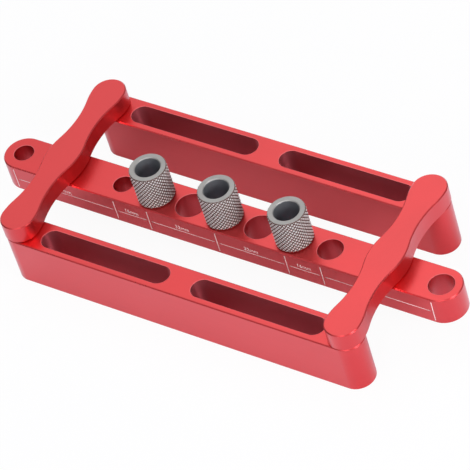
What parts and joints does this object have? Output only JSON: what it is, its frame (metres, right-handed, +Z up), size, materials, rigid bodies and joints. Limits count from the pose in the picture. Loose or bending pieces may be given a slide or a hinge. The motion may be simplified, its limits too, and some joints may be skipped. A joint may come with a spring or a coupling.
{
  "type": "self centring dowelling jig",
  "caption": "Drill guide for dowel holes: a centre bar with knurled guide bushes between two side bars, joined by swing arms that close both side bars on a board's edge alike.",
  "frame": {"origin": "on the plane that the side bars stand on, under the middle of the centre bar", "axes": "+X along the bars towards the end with the larger plain holes, +Y across them towards the rear side bar, +Z up out of the guide bushes"},
  "size_m": [0.21, 0.0838, 0.0375],
  "materials": {
    "anodised_aluminium": "satin red anodised",
    "bush_steel": "matt knurled steel",
    "screw_steel": "black oxide",
    "washer_plastic": "plain"
  },
  "bodies": {
    "centre": {"centre_bar": "anodised_aluminium", "left_centre_washer": "washer_plastic", "right_centre_washer": "washer_plastic"},
    "left_arm": {"left_swing_arm": "anodised_aluminium", "left_front_screw": "screw_steel", "left_centre_screw": "screw_steel", "left_rear_screw": "screw_steel"},
    "right_arm": {"right_swing_arm": "anodised_aluminium", "right_front_screw": "screw_steel", "right_centre_screw": "screw_steel", "right_rear_screw": "screw_steel"},
    "front_bar": {"front_side_bar": "anodised_aluminium", "left_front_washer": "washer_plastic", "right_front_washer": "washer_plastic"},
    "rear_bar": {"rear_side_bar": "anodised_aluminium", "left_rear_washer": "washer_plastic", "right_rear_washer": "washer_plastic"},
    "bush_on_the_left": {"left_bush": "bush_steel"},
    "bush_in_the_middle": {"middle_bush": "bush_steel"},
    "bush_on_the_right": {"right_bush": "bush_steel"}
  },
  "joints": [
    {"name": "left_arm_swing", "type": "hinge", "parent": "centre", "child": "left_arm", "pos_m": [-0.07455, 0, 0.0222], "axis": [0, 0, 1], "range_deg": [-66.25, 59.75]},
    {"name": "right_arm_swing", "type": "hinge", "parent": "centre", "child": "right_arm", "pos_m": [0.07455, 0, 0.0222], "axis": [0, 0, 1], "range_deg": [-66.25, 59.75]},
    {"name": "front_bar_pivot", "type": "hinge", "parent": "left_arm", "child": "front_bar", "pos_m": [-0.07257, -0.03479, 0.0222], "axis": [0, 0, 1], "range_deg": [-59.75, 66.25]},
    {"name": "rear_bar_pivot", "type": "hinge", "parent": "left_arm", "child": "rear_bar", "pos_m": [-0.07653, 0.03479, 0.0222], "axis": [0, 0, 1], "range_deg": [-59.75, 66.25]},
    {"name": "left_bush_lift", "type": "slide", "parent": "centre", "child": "bush_on_the_left", "axis": [0, 0, 1], "range_m": [0, 0.025]},
    {"name": "middle_bush_lift", "type": "slide", "parent": "centre", "child": "bush_in_the_middle", "axis": [0, 0, 1], "range_m": [0, 0.025]},
    {"name": "right_bush_lift", "type": "slide", "parent": "centre", "child": "bush_on_the_right", "axis": [0, 0, 1], "range_m": [0, 0.025]}
  ],
  "couplings": [
    {"joint": "right_arm_swing", "follows": "left_arm_swing", "ratio": 1},
    {"joint": "front_bar_pivot", "follows": "left_arm_swing", "ratio": -1},
    {"joint": "rear_bar_pivot", "follows": "left_arm_swing", "ratio": -1}
  ]
}
